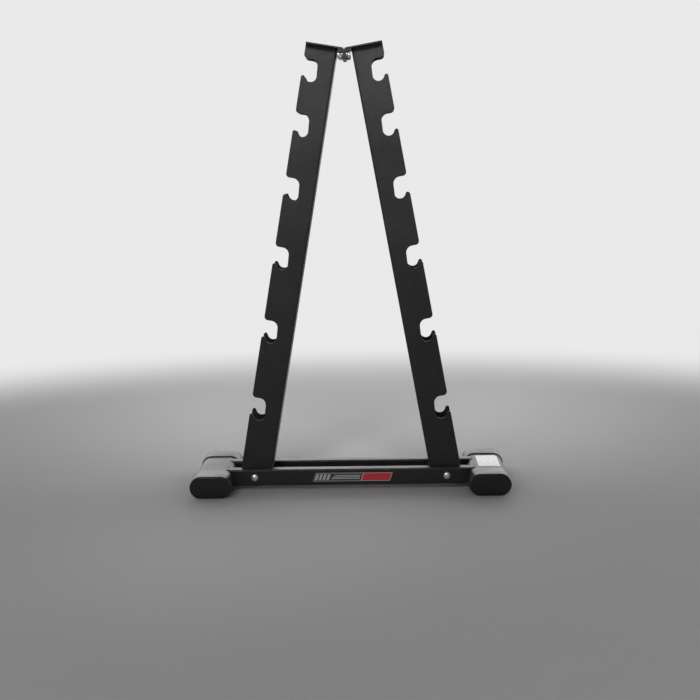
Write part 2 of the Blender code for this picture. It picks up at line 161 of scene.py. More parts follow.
# Badge and label
FILM = 0.0002             # thickness of the badge's base. What lies on it has half of that.
BADGE_SLANT = 0.35        # how far the badge's slanted edges lean to the right as they rise
BADGE_TRIM = 0.0005       # left bare at the ends of the CAD badge
BADGE_RIM = 0.0016        # pale outline
BADGE_BARS = 0.20         # share of the length with bars
BADGE_GREY = 0.62         # share of the length before the red part
BADGE_SPLIT = 0.0006      # how far the grey film runs on, to leave a thinner line before the red
BADGE_BAR_COUNT = 4
BADGE_BAR_INSET = 0.0040  # bars' ends, in from the badge's top and bottom
BADGE_BAR_GROW = (0.0004, 0.0034)    # widening to the left and right of a bar's share, before the inset
STRIPE_COUNT = 3
STRIPE_BASE = 0.27        # shares of the badge's height: the lowest stripe's bottom,
STRIPE_STEP = 0.18        # the rise from one stripe to the next
STRIPE_HIGH = 0.10        # and a stripe's own height
STRIPE_END = 0.006        # a stripe's ends, in from the grey part's
STRIPE_SHIFT = 0.004      # each stripe starts this much after the one below it
LABEL_CORNER = 0.004
LABEL_LIFTS = (0.00012, 0.00030)    # the paper's under side and its face, above the tube
WRINKLE = 0.00010         # half the height of the paper's wrinkles
WRINKLE_SCALE = (60, 45)  # across the label and along it

# Studio
FLOOR_RADIUS = 30.0
FLOOR_THICK = 0.02
FLOOR_TONE = 0.57
BACKDROP_TONE = 0.82
FLOOR_NEAR = 1.7          # distance at which the floor starts to turn into the backdrop
FLOOR_FAR = 3.4           # and at which it has done so
# The sky's light as (height, brightness), where height runs from 0 at the horizon to 1 overhead
FRONT_LIGHT = ((0.0, 0.50), (0.2, 0.13), (1.0, 0.06))
REAR_LIGHT = ((0.0, 0.8), (0.2, 2.1), (0.4, 2.1), (0.6, 0.15), (1.0, 0.08))
SKY_TURN = (-0.25, 0.35)  # the sky's Y between which its front light turns into its rear light
# Soft lights: place, point that they look at, size, watts and spread
KEY_LIGHT = ((0.0, -2.0, 2.8), (0.0, 0.0, 1.42), (1.6, 0.8), 8.5, math.radians(40))
LOW_LIGHT = ((-0.9, -2.6, 1.6), (0.0, 0.0, 0.05), (0.5, 0.5), 0.75, math.radians(40))
CAMERA_PLACE = (0.0934, -4.2263, 0.9991)
CAMERA_YAW = 0.02084      # radians, turned towards -X
CAMERA_PITCH = math.radians(5.0)
CAMERA_ROLL = 0.01605     # radians, right-hand side of the picture raised
CAMERA_LENS = 70.17
CAMERA_SHIFT = -0.0950


# Outlines

def arc(centre, radius, start, end, steps):
    """Points on an arc, angles in radians, both ends included."""
    middle = Vector(centre)
    angles = [start + (end - start) * i / steps for i in range(steps + 1)]
    return [middle + radius * Vector((math.cos(a), math.sin(a))) for a in angles]


def circle(radius, sides=48):
    return arc((0, 0), radius, 0, 2 * math.pi * (1 - 1 / sides), sides - 1)


def oval(width, height, steps=28):
    """A flat oval: two half circles joined by straight runs, anticlockwise."""
    radius = height / 2
    x = width / 2 - radius
    right = arc((x, 0), radius, -math.pi / 2, math.pi / 2, steps)
    left = arc((-x, 0), radius, math.pi / 2, 3 * math.pi / 2, steps)
    return right + left


def rectangle(width, height, radius, steps=7, split=14):
    """A rounded rectangle about the origin, its upright sides split for a curved end cut."""
    x = width / 2 - radius
    y = height / 2 - radius
    quarter = math.pi / 2
    points = []
    for turn, (cx, cy) in enumerate(((x, y), (-x, y), (-x, -y), (x, -y))):
        points += arc((cx, cy), radius, turn * quarter, (turn + 1) * quarter, steps)
        if turn in (1, 3):
            low, high = (y, -y) if turn == 1 else (-y, y)
            edge = points[-1].x
            points += [Vector((edge, low + (high - low) * i / split)) for i in range(1, split)]
    return points


def moved(outline, dx, dy):
    offset = Vector((dx, dy))
    return [p + offset for p in outline]


def middle_of(node):
    low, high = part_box(node)
    return (low + high) / 2


def along_x(outline, x):
    return [Vector((x, p[0], p[1])) for p in outline]


def along_y(outline, y):
    return [Vector((p[0], y, p[1])) for p in outline]


def along_z(outline, z):
    return [Vector((p[0], p[1], z)) for p in outline]


def loft(bm, rings, joined=False):
    """Skins rings of equal length. Ends are capped, or the last ring joins the first."""
    loops = [[bm.verts.new(point) for point in ring] for ring in rings]
    pairs = list(zip(loops, loops[1:]))
    if joined:
        pairs.append((loops[-1], loops[0]))
    for low, high in pairs:
        for i in range(len(low)):
            j = (i + 1) % len(low)
            bm.faces.new((low[i], low[j], high[j], high[i]))
    if not joined:
        bm.faces.new(list(reversed(loops[0])))
        bm.faces.new(loops[-1])


# Pieces

def new_object(name, bm):
    """Turns a bmesh into an object in the scene, with its faces looking outwards."""
    bmesh.ops.recalc_face_normals(bm, faces=bm.faces)
    mesh = bpy.data.meshes.new(name)
    bm.to_mesh(mesh)
    bm.free()
    thing = bpy.data.objects.new(name, mesh)
    bpy.context.scene.collection.objects.link(thing)
    return thing


def new_piece(name, bm, materials, node=None):
    """A smooth-shaded piece on the rack's one body. It stands for a CAD node, where one is named."""
    piece = new_object(name, bm)
    piece.data.shade_smooth()
    for material in materials:
        piece.data.materials.append(material)
    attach(piece, "root")
    if node:
        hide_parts(node)
    return piece


def soften(piece, width, segments=2, angle=35):
    """Rounds every edge sharper than the angle, keeping flat faces flat in their shading."""
    bevel = piece.modifiers.new("edges", "BEVEL")
    bevel.width = width
    bevel.segments = segments
    bevel.limit_method = "ANGLE"
    bevel.angle_limit = math.radians(angle)
    bevel.use_clamp_overlap = False
    bevel.harden_normals = True


def drill(piece, cutter_bm):
    """Cuts holes with an exact Boolean, whose result is kept in the mesh."""
    cutter = new_object("cutter", cutter_bm)
    boolean = piece.modifiers.new("holes", "BOOLEAN")
    boolean.solver = "EXACT"
    boolean.object = cutter
    keep_result(piece)
    bpy.data.objects.remove(cutter)


def keep_result(piece):
    """Replaces a piece's mesh with the one its modifiers make."""
    graph = bpy.context.evaluated_depsgraph_get()
    result = bpy.data.meshes.new_from_object(piece.evaluated_get(graph))
    piece.modifiers.clear()
    piece.data = result


# Uprights

def upright_matrix(side):
    """An upright's frame: local X is outwards times the side, local Z runs up the upright."""
    origin = Matrix.Translation((side * UPRIGHT_X, 0, BAR_TOP))
    return origin @ Matrix.Rotation(-side * LEAN, 4, "Y")


def up_at_height(z, out):
    """The `up` value at which a line `out` from the axis reaches height z."""
    return (z - BAR_TOP - out * math.sin(LEAN)) / math.cos(LEAN)


def notch_path(seat):
    """One J-shaped notch, (out, up), met while going up the flange's outer edge."""
    edge = UPRIGHT_WIDTH / 2
    ceiling = seat + NOTCH_HEIGHT
    centre = Vector((SEAT_OUT, seat + SEAT_RADIUS))

    slope = Vector((math.cos(LIP_ANGLE), math.sin(LIP_ANGLE)))
    normal = Vector((-slope.y, slope.x))
    line = centre - (SEAT_RADIUS + LIP_ROUND) * normal
    tip = line + (edge - LIP_ROUND - line.x) / slope.x * slope
    lip = arc(tip, LIP_ROUND, 0, LIP_ANGLE + math.pi / 2, 8)

    left = math.pi - WALL_ANGLE
    bowl = arc(centre, SEAT_RADIUS, 1.5 * math.pi + LIP_ANGLE, left, 36)
    corner_up = ceiling - CEILING_ROUND
    corner_out = bowl[-1].x + (corner_up - bowl[-1].y) * math.tan(WALL_ANGLE)
    corner_out += CEILING_ROUND / math.cos(WALL_ANGLE)
    corner = arc((corner_out, corner_up), CEILING_ROUND, left, math.pi / 2, 12)
    above = (edge - CORNER_ROUND, ceiling + CORNER_ROUND)
    return lip + bowl + corner + arc(above, CORNER_ROUND, -math.pi / 2, 0, 8)


def flange_outline(foot):
    """A flange's outline, (out, up), from its fold to the notched outer edge."""
    fold = FOLD_ROUND - UPRIGHT_WIDTH / 2
    edge = UPRIGHT_WIDTH / 2
    top = UPRIGHT_TOP - GAP
    points = [Vector((fold, up_at_height(foot, fold))), Vector((edge, up_at_height(foot, edge)))]
    for seat in SEAT_HEIGHTS:
        points += notch_path(seat)
    return points + [Vector((edge, top)), Vector((fold, top))]


def fold_section(radius):
    """The web and both folds, (out, y), on the fold's outer or inner radius."""
    middle_out = FOLD_ROUND - UPRIGHT_WIDTH / 2
    middle_y = UPRIGHT_DEPTH / 2 - FOLD_ROUND
    front = arc((middle_out, -middle_y), radius, 1.5 * math.pi, math.pi, 8)
    rear = arc((middle_out, middle_y), radius, math.pi, math.pi / 2, 8)
    return front + rear


def add_upright(word, side, paint):
    foot = BAR_TOP + 2 * GAP + SADDLE_PLATE
    face = UPRIGHT_DEPTH / 2
    outline = [Vector((side * p.x, p.y)) for p in flange_outline(foot)]
    bm = bmesh.new()
    for y in (-face, face - PLATE):
        loft(bm, [along_y(outline, y), along_y(outline, y + PLATE)])
    top = UPRIGHT_TOP - GAP
    section = fold_section(FOLD_ROUND) + fold_section(FOLD_ROUND - PLATE)[::-1]
    low = [Vector((side * p.x, p.y, up_at_height(foot, p.x))) for p in section]
    high = [Vector((side * p.x, p.y, top)) for p in section]
    loft(bm, [low, high])
    join_flanges(bm)
    bm.transform(upright_matrix(side))
    upright = new_piece(word + "_upright_channel", bm, [paint], word + "_upright")
    soften(upright, EDGE)


def join_flanges(bm):
    """Welds the flanges to the folds and removes the faces left inside where they meet."""
    bmesh.ops.remove_doubles(bm, verts=bm.verts, dist=1e-6)
    inner = [face for face in bm.faces if all(len(edge.link_faces) > 2 for edge in face.edges)]
    bmesh.ops.delete(bm, geom=inner, context="FACES_ONLY")


# Top plates

def cap_outline():
    """The bent plate's section, (x, z), for the right-hand side."""
    def point(out, up):
        x = UPRIGHT_X - up * math.sin(LEAN) + out * math.cos(LEAN)
        z = BAR_TOP + up * math.cos(LEAN) + out * math.sin(LEAN)
        return Vector((x, z))

    low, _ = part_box("right_top_plate")
    end_high = point(UPRIGHT_WIDTH / 2, UPRIGHT_TOP + CAP_PLATE)
    end_low = point(UPRIGHT_WIDTH / 2, UPRIGHT_TOP)
    bend_x = low.x + CAP_BEND
    bend_z = end_high.y - (end_high.x - bend_x) * math.tan(LEAN) - CAP_BEND / math.cos(LEAN)
    start = math.pi / 2 + LEAN
    outer = arc((bend_x, bend_z), CAP_BEND, start, math.pi, 14)
    inner = arc((bend_x, bend_z), CAP_BEND - CAP_PLATE, math.pi, start, 14)
    tab = [Vector((low.x, low.z)), Vector((low.x + CAP_PLATE, low.z))]
    return [end_high] + outer + tab + inner + [end_low]


def add_top_plate(word, side, paint):
    low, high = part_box(word + "_top_plate")
    outline = [Vector((side * p.x, p.y)) for p in cap_outline()]
    bm = bmesh.new()
    loft(bm, [along_y(outline, low.y), along_y(outline, high.y)])
    name = word + "_top_plate_bent"
    plate = new_piece(name, bm, [paint], word + "_top_plate")
    holes = bmesh.new()
    for end in ENDS:
        at = middle_of(f"top_{end}_bolt")
        hole = moved(circle(HOLE_RADIUS), at.y, at.z)
        loft(holes, [along_x(hole, -2 * CAP_PLATE), along_x(hole, 2 * CAP_PLATE)])
    drill(plate, holes)
    soften(plate, EDGE)


# Base

def cope(z, clearance=0.0):
    """How far out a piece reaches before it meets the foot tube's round side, at height z."""
    radius = TUBE_HEIGHT / 2 + clearance
    round_x = FOOT_X - (TUBE_WIDTH - TUBE_HEIGHT) / 2
    reach = max(radius ** 2 - (z - FOOT_Z) ** 2, 0)
    return round_x - math.sqrt(reach)


def add_foot_tube(word, side, paint):
    outer = moved(oval(TUBE_WIDTH, TUBE_HEIGHT), side * FOOT_X, FOOT_Z)
    bore = oval(TUBE_WIDTH - 2 * TUBE_WALL, TUBE_HEIGHT - 2 * TUBE_WALL)
    inner = moved(bore, side * FOOT_X, FOOT_Z)
    bm = bmesh.new()
    rings = [along_y(outer, TUBE_LOW.y), along_y(outer, TUBE_HIGH.y)]
    rings += [along_y(inner, TUBE_HIGH.y), along_y(inner, TUBE_LOW.y)]
    loft(bm, rings, joined=True)
    name = word + "_foot_tube_oval"
    tube = new_piece(name, bm, [paint], word + "_foot_tube")
    soften(tube, EDGE / 2)


def boot_profile():
    """(inset, distance from the closed end) down a boot's outside, over the rim and inside."""
    length = BOOT_HIGH.y - BOOT_LOW.y
    quarter = math.pi / 2
    points = [(p.x, p.y) for p in arc((BOOT_ROUND, BOOT_ROUND), BOOT_ROUND, -quarter, -math.pi, 9)]
    lip = BOOT_LIP
    points += [(p.x, p.y) for p in arc((lip, length - lip), lip, math.pi, quarter, 5)]
    hollow = BOOT_WALL - GAP
    points += [(p.x, p.y) for p in arc((hollow - lip / 2, length - lip / 2), lip / 2, quarter, 0, 3)]
    return points + [(hollow, BOOT_END)]


def add_boot(name, side, end, rubber):
    """A cup pushed over the end of a foot tube, with a rounded nose and rim."""
    bm = bmesh.new()
    width = TUBE_WIDTH + 2 * BOOT_WALL
    height = TUBE_HEIGHT + 2 * BOOT_WALL
    rings = []
    for inset, back in boot_profile():
        shape = moved(oval(width - 2 * inset, height - 2 * inset), side * FOOT_X, FOOT_Z)
        rings.append(along_y(shape, end * (BOOT_HIGH.y - back)))
    loft(bm, rings)
    boot = new_piece(name + "_rubber", bm, [rubber], name)
    soften(boot, BOOT_EDGE, segments=1, angle=60)


def add_crossbar(word, paint):
    """A tube with rounded corners, its ends shaped to the feet, drilled for the base bolts."""
    middle = middle_of(word + "_crossbar")
    outer = moved(rectangle(BAR_DEPTH, BAR_HEIGHT, BAR_ROUND), middle.y, middle.z)
    bore = rectangle(BAR_DEPTH - 2 * BAR_WALL, BAR_HEIGHT - 2 * BAR_WALL, BAR_ROUND - BAR_WALL)
    inner = moved(bore, middle.y, middle.z)
    rings = []
    for outline, side in ((outer, -1), (outer, 1), (inner, 1), (inner, -1)):
        rings.append([Vector((side * cope(p[1], GAP), p[0], p[1])) for p in outline])
    bm = bmesh.new()
    loft(bm, rings, joined=True)
    bar = new_piece(word + "_crossbar_tube", bm, [paint], word + "_crossbar")
    holes = bmesh.new()
    for side_word in SIDES:
        at = middle_of(f"{word}_{side_word}_bolt")
        hole = moved(circle(HOLE_RADIUS), at.x, at.z)
        loft(holes, [along_y(hole, middle.y - BAR_DEPTH), along_y(hole, middle.y + BAR_DEPTH)])
    drill(bar, holes)
    soften(bar, EDGE / 2)


def add_saddle(word, paint):
    """A plate on both crossbars with two legs down between them."""
    low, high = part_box(word + "_saddle")
    edge = high.y
    leg = BAR_GAP / 2 - GAP
    inside = leg - SADDLE_PLATE
    rest = high.z - SADDLE_PLATE
    profile = [(-edge, rest), (-leg, rest), (-leg, low.z), (-inside, low.z), (-inside, rest)]
    profile += [(inside, rest), (inside, low.z), (leg, low.z), (leg, rest), (edge, rest)]
    profile += [(edge, high.z), (-edge, high.z)]
    bm = bmesh.new()
    loft(bm, [along_x(profile, low.x), along_x(profile, high.x)])
    saddle = new_piece(word + "_saddle_bracket", bm, [paint], word + "_saddle")
    at = middle_of(f"front_{word}_bolt")
    hole = moved(circle(HOLE_RADIUS), at.x, at.z)
    holes = bmesh.new()
    loft(holes, [along_y(hole, -BAR_GAP), along_y(hole, BAR_GAP)])
    drill(saddle, holes)
    soften(saddle, EDGE)


# Weld beads

def bead_rings(path, closed, radius, seed):
    """Rings along a path, with overlapping weld ripples, uneven width and tapered open ends."""
    points = resample(path, closed, BEAD_STEP)
    count = len(points)
    rings = []
    for i, point in enumerate(points):
        before = points[i - 1] if closed or i else points[0]
        after = points[(i + 1) % count] if closed or i < count - 1 else points[-1]
        tangent = (after - before).normalized()
        across = tangent.orthogonal() if abs(tangent.z) > 0.9 else tangent.cross(Vector((0, 0, 1)))
        across.normalize()
        upward = across.cross(tangent)
        ripple = 1 - RIPPLE_DEPTH * ((i * BEAD_STEP / RIPPLE) % 1.0)
        wobble = 1 + WOBBLE * noise.noise(point * WOBBLE_SCALE + Vector((seed, 0, 0)))
        from_end = min(i, count - 1 - i)
        taper = 1.0 if closed else min(1.0, TAPER_FROM + from_end / TAPER_RINGS)
        size = radius * ripple * wobble * taper
        rings.append([point + across * p.x + upward * p.y for p in circle(size, BEAD_SIDES)])
    return rings


def resample(path, closed, spacing):
    """Evenly spaced points along a line of points."""
    ends = path + [path[0]] if closed else path
    lengths = [(b - a).length for a, b in zip(ends, ends[1:])]
    total = sum(lengths)
    count = max(round(total / spacing), 4)
    points = []
    index = 0
    passed = 0.0
    for i in range(count if closed else count + 1):
        goal = min(total * i / count, total - 1e-9)
        while passed + lengths[index] < goal:
            passed += lengths[index]
            index += 1
        share = (goal - passed) / lengths[index]
        points.append(ends[index].lerp(ends[index + 1], share))
    return points


def add_bead(name, path, closed, radius, paint):
    """A weld bead, its unevenness seeded by the number of objects made before it."""
    bm = bmesh.new()
    loft(bm, bead_rings(path, closed, radius, len(bpy.data.objects)), joined=closed)
    new_piece(name, bm, [paint])


def add_bar_welds(word, side, end_word, paint):
    """A bead round the end of a crossbar, where it meets the foot tube."""
    middle = middle_of(end_word + "_crossbar")
    outline = moved(rectangle(BAR_DEPTH, BAR_HEIGHT, BAR_ROUND), middle.y, middle.z)
    path = [Vector((side * (cope(p[1]) - BAR_BEAD / 2), p[0], p[1])) for p in outline]
    add_bead(f"{end_word}_{word}_bar_weld", path, True, BAR_BEAD, paint)


def add_upright_welds(word, side, paint):
    """Beads inside the channel, on the saddle at its foot and under the top plate."""
    face = UPRIGHT_DEPTH / 2 - PLATE - BEAD_INSET
    section = fold_section(FOLD_ROUND - PLATE - BEAD_INSET)
    run = [Vector((CHANNEL_RUN, -face))] + section + [Vector((CHANNEL_RUN, face))]
    foot = BAR_TOP + 2 * GAP + SADDLE_PLATE + BEAD_INSET
    head = UPRIGHT_TOP - GAP - BEAD_INSET
    for place in ("foot", "head"):
        path = []
        for p in run:
            up = up_at_height(foot, p.x) if place == "foot" else head
            path.append(upright_matrix(side) @ Vector((side * p.x, p.y, up)))
        add_bead(f"{word}_upright_{place}_weld", path, False, CHANNEL_BEAD, paint)


def add_head_welds(word, side, paint):
    """Beads outside each flange, in the corner under the top plate."""
    up = UPRIGHT_TOP - GAP - BEAD_INSET
    at_fold, at_edge = HEAD_BARE
    for end_word, end in ENDS.items():
        y = end * (UPRIGHT_DEPTH / 2 + HEAD_OFF)
        ends = (-UPRIGHT_WIDTH / 2 + at_fold, UPRIGHT_WIDTH / 2 - at_edge)
        path = [upright_matrix(side) @ Vector((side * out, y, up)) for out in ends]
        add_bead(f"{end_word}_{word}_head_weld", path, False, CHANNEL_BEAD, paint)


# Fasteners, built along +Z and then turned into place

def stand_on(bm, node, direction, roll=0.0):
    """Turns +Z to the direction and puts z = 0 on the CAD node's nearer end."""
    low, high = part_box(node)
    axis = Vector(direction)
    half = abs((high - low).dot(axis)) / 2
    start = (low + high) / 2 - half * axis
    turn = Vector((0, 0, 1)).rotation_difference(axis).to_matrix().to_4x4()
    bm.transform(Matrix.Translation(start) @ turn @ Matrix.Rotation(roll, 4, "Z"))


def length_along(node, direction):
    low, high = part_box(node)
    return abs((high - low).dot(Vector(direction)))


def hex_ring(z, chamfer=0):
    """A hexagon at height z. Chamfer +1 or -1 drops or lifts its corners along a cone."""
    ring = []
    for i in range(HEX_SIDES):
        angle = 2 * math.pi * i / HEX_SIDES
        from_flat = (angle + math.pi / 6) % (math.pi / 3) - math.pi / 6
        reach = HEX_ACROSS / 2 / math.cos(from_flat)
        level = z - chamfer * (reach - TOP_OF_HEX) * math.tan(HEX_CHAMFER)
        ring.append(Vector((reach * math.cos(angle), reach * math.sin(angle), level)))
    return ring


def round_ring(radius, z):
    return along_z(circle(radius, HEX_SIDES), z)


def thread_rings(length):
    """A threaded rod from z = 0 up, with a chamfered end."""
    rings = []
    count = round(THREAD_LENGTH / THREAD_PITCH * THREAD_STEPS)
    for i in range(count + 1):
        z = i * THREAD_PITCH / THREAD_STEPS
        ring = []
        for k in range(HEX_SIDES):
            angle = 2 * math.pi * k / HEX_SIDES
            turn = (z / THREAD_PITCH - angle / (2 * math.pi)) % 1.0
            depth = THREAD_DEPTH * abs(2 * turn - 1) * min(1.0, (count - i) / THREAD_STEPS)
            radius = min(SHANK_RADIUS - depth, SHANK_RADIUS - THREAD_DEPTH - THREAD_CHAMFER + z)
            ring.append(Vector((radius * math.cos(angle), radius * math.sin(angle), z)))
        rings.append(ring)
    rings.append(round_ring(SHANK_RADIUS, length))
    return rings


def add_bolt(node, direction, roll, zinc):
    """A hex bolt, its thread at z = 0 and its chamfered, domed head at the far end."""
    length = length_along(node, direction)
    under = length - HEAD_HEIGHT
    rings = thread_rings(under) + [hex_ring(under), hex_ring(length - CROWN, 1)]
    for share in CROWN_RINGS:
        rings.append(round_ring(TOP_OF_HEX * share, length - CROWN * share ** 2))
    bm = bmesh.new()
    loft(bm, rings)
    stand_on(bm, node, direction, roll)
    bolt = new_piece(node + "_threaded", bm, [zinc], node)
    soften(bolt, HEX_EDGE, angle=40)


def add_nut(node, direction, roll, zinc, nylon):
    """A lock nut: a chamfered hexagon and a rolled collar that holds a nylon ring."""
    height = length_along(node, direction)
    hex_top = NUT_HEX * height
    bore = SHANK_RADIUS + 2 * GAP
    middle = (TOP_OF_HEX - COLLAR_INSET, height - COLLAR_INSET)
    rings = [hex_ring(0, -1), hex_ring(hex_top, 1), round_ring(TOP_OF_HEX, hex_top)]
    rings += [round_ring(p.x, p.y) for p in arc(middle, COLLAR_ROUND, 0, math.pi / 2, 5)]
    rings.append(round_ring(NYLON_RADIUS, height - NYLON_TOP))
    rings += [round_ring(bore, height - NYLON_BORE), round_ring(bore, 0)]
    bm = bmesh.new()
    loft(bm, rings, joined=True)
    for face in bm.faces:
        at = face.calc_center_median()
        if math.hypot(at.x, at.y) < NYLON_RADIUS and at.z > height - NYLON_BORE:
            face.material_index = 1
    stand_on(bm, node, direction, roll)
    nut = new_piece(node + "_locking", bm, [zinc, nylon], node)
    soften(nut, HEX_EDGE, angle=40)


def add_washer(node, direction, zinc):
    low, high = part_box(node)
    thick = length_along(node, direction)
    rim = circle((high.z - low.z) / 2)
    hole = circle(HOLE_RADIUS - GAP)
    bm = bmesh.new()
    rings = [along_z(rim, 0), along_z(rim, thick), along_z(hole, thick), along_z(hole, 0)]
    loft(bm, rings, joined=True)
    stand_on(bm, node, direction)
    washer = new_piece(node + "_rounded", bm, [zinc], node)
    soften(washer, WASHER_EDGE, segments=3)


def add_spring_washer(node, direction, zinc, steps=60):
    """A split ring of square wire, pressed nearly flat, with a slanted split."""
    low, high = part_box(node)
    thick = length_along(node, direction)
    outer = (high.z - low.z) / 2
    inner = HOLE_RADIUS - GAP
    rings = []
    for i in range(steps + 1):
        angle = SLIT + 2 * (math.pi - SLIT) * i / steps
        lift = SPRING_LEAD * i / steps
        below = Vector((math.cos(angle - SLANT), math.sin(angle - SLANT), 0))
        above = Vector((math.cos(angle + SLANT), math.sin(angle + SLANT), 0))
        bottom = Vector((0, 0, lift))
        top = Vector((0, 0, thick - SPRING_LEAD + lift))
        ring = [below * inner + bottom, below * outer + bottom]
        rings.append(ring + [above * outer + top, above * inner + top])
    bm = bmesh.new()
    loft(bm, rings)
    stand_on(bm, node, direction)
    washer = new_piece(node + "_split", bm, [zinc], node)
    soften(washer, SPRING_EDGE)


def add_fasteners(zinc, shaded_zinc, nylon):
    """Each set's hexagons stand at their own angle, as they were left by the spanner."""
    sets = {}
    for end_word, end in ENDS.items():
        for side_word in SIDES:
            sets[f"{end_word}_{side_word}"] = Vector((0, end, 0))
        sets[f"top_{end_word}"] = Vector((1, 0, 0))
    for i, (prefix, outward) in enumerate(sets.items()):
        add_bolt(prefix + "_bolt", outward, math.radians(23 * i + 19), zinc)
        add_nut(prefix + "_nut", -outward, math.radians(41 * i + 53), zinc, nylon)
        # The washers take the darker zinc copy, which paints in their shade under the heads and nuts
        add_washer(prefix + "_head_washer", outward, shaded_zinc)
        add_washer(prefix + "_nut_washer", -outward, shaded_zinc)
        if prefix + "_spring_washer" in frame["nodes"]:
            add_spring_washer(prefix + "_spring_washer", outward, shaded_zinc)


# Badge and label

def slanted(left, right, low, high):
    """A parallelogram, (x, z), with slanted ends, given by where their lines meet z = 0."""
    corners = ((left, low), (right, low), (right, high), (left, high))
    return [Vector((x + BADGE_SLANT * z, z)) for x, z in corners]


def add_film(name, shapes, behind, thick, material, node=None):
    """Thin films cut to (x, z) shapes, whose backs are at y = behind."""
    bm = bmesh.new()
    for shape in shapes:
        loft(bm, [along_y(shape, behind), along_y(shape, behind - thick)])
    film = new_piece(name, bm, [material], node)
    soften(film, thick / 4, segments=1)


def add_badge(mats):
    """A plain strip with slanted ends: pale slanted bars, pale stripes on grey and a red part."""
    low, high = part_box("front_badge")
    height = high.z - low.z
    left = low.x + BADGE_TRIM - BADGE_SLANT * low.z
    right = high.x - BADGE_TRIM - BADGE_SLANT * high.z
    bars_end = left + BADGE_BARS * (right - left)
    split = left + BADGE_GREY * (right - left)

    def layer(inset, start, end):
        return slanted(start + inset, end - inset, low.z + inset, high.z - inset)

    outline = layer(0, left, right)
    add_film("front_badge_outline", [outline], high.y, FILM, mats["badge_pale"], "front_badge")
    face = high.y - FILM
    grey_part = layer(BADGE_RIM, left, split + BADGE_SPLIT)
    add_film("front_badge_grey", [grey_part], face, FILM / 2, mats["badge_grey"])
    add_film("front_badge_red", [layer(BADGE_RIM, split, right)], face, FILM / 2, mats["badge_red"])
    face -= FILM / 2
    step = (bars_end - left) / BADGE_BAR_COUNT
    to_left, to_right = BADGE_BAR_GROW
    bars = []
    for i in range(BADGE_BAR_COUNT):
        start = left + i * step
        bars.append(layer(BADGE_BAR_INSET, start - to_left, start + step + to_right))
    add_film("front_badge_bars", bars, face, FILM / 2, mats["badge_pale"])
    stripes = []
    for i in range(STRIPE_COUNT):
        base = low.z + height * (STRIPE_BASE + STRIPE_STEP * i)
        start = bars_end + STRIPE_END + STRIPE_SHIFT * i
        stripes.append(slanted(start, split - STRIPE_END, base, base + height * STRIPE_HIGH))
    add_film("front_badge_stripes", stripes, face, FILM / 2, mats["badge_pale"])


def add_label(paper, steps=40):
    """A blank paper label that follows the foot tube's top and its rounded side."""
    low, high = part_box("foot_label")
    radius = TUBE_HEIGHT / 2
    flat = TUBE_WIDTH / 2 - radius
    inner = low.x - FOOT_X
    outer = flat + radius * math.asin((high.x - FOOT_X - flat) / (radius + GAP))
    rings = []
    for y, inset in label_rows(low.y, high.y):
        width = outer - inner - 2 * inset
        across = [inner + inset + width * i / steps for i in range(steps + 1)]
        under, face = LABEL_LIFTS
        ring = [on_tube(u, y, under, flat, radius) for u in across]
        rings.append(ring + [on_tube(u, y, face, flat, radius) for u in reversed(across)])
    bm = bmesh.new()
    loft(bm, rings)
    new_piece("foot_label_paper", bm, [paper], "foot_label")


def label_rows(low, high, corner_steps=6, steps=30):
    """Rows along the label as (y, inset), the inset rounding its corners."""
    first = []
    for i in range(corner_steps + 1):
        angle = i * math.pi / 2 / corner_steps
        rise = LABEL_CORNER * (1 - math.cos(angle))
        first.append((low + rise, LABEL_CORNER * (1 - math.sin(angle))))
    straight = high - low - 2 * LABEL_CORNER
    middle = [(low + LABEL_CORNER + straight * i / steps, 0.0) for i in range(1, steps)]
    last = [(high + low - y, inset) for y, inset in reversed(first)]
    return first + middle + last


def on_tube(u, y, lift, flat, radius):
    """A point `u` across the foot tube's surface from its middle, raised by the lift."""
    across, along = WRINKLE_SCALE
    wrinkle = WRINKLE * (1 + noise.noise(Vector((u * across, y * along, 3.0))))
    height = radius + lift + wrinkle
    if u <= flat:
        return Vector((FOOT_X + u, y, FOOT_Z + height))
    angle = math.pi / 2 - (u - flat) / radius
    return Vector((FOOT_X + flat + height * math.cos(angle), y, FOOT_Z + height * math.sin(angle)))


# Materials

class Tree:
    """The node tree of a material or world, with short calls for adding and joining nodes."""

    def __init__(self, owner):
        owner.use_nodes = True
        self.nodes = owner.node_tree.nodes
        self.links = owner.node_tree.links

    def join(self, output, target):
        """Feeds an output, or a plain value, into a socket."""
        if isinstance(output, bpy.types.NodeSocket):
            self.links.new(output, target)
        else:
            target.default_value = output

    def output(self, kind, name):
        return self.nodes.new("ShaderNode" + kind).outputs[name]

    def parts(self, vector):
        """A vector's X, Y and Z."""
        node = self.nodes.new("ShaderNodeSeparateXYZ")
        self.join(vector, node.inputs["Vector"])
        return node.outputs

    def span(self, value, low, high, to_low=0.0, to_high=1.0, easing="LINEAR"):
        """Maps a value from one range to another, held at both ends."""
        node = self.nodes.new("ShaderNodeMapRange")
        node.interpolation_type = easing
        self.join(value, node.inputs["Value"])
        for name, bound in zip(("From Min", "From Max", "To Min", "To Max"),
                               (low, high, to_low, to_high)):
            node.inputs[name].default_value = bound
        return node.outputs["Result"]

    def mix(self, share, first, second):
        """Blends two colours."""
        node = self.nodes.new("ShaderNodeMix")
        node.data_type = "RGBA"
        self.join(share, node.inputs["Factor"])
        self.join(first, node.inputs["A"])
        self.join(second, node.inputs["B"])
        return node.outputs["Result"]


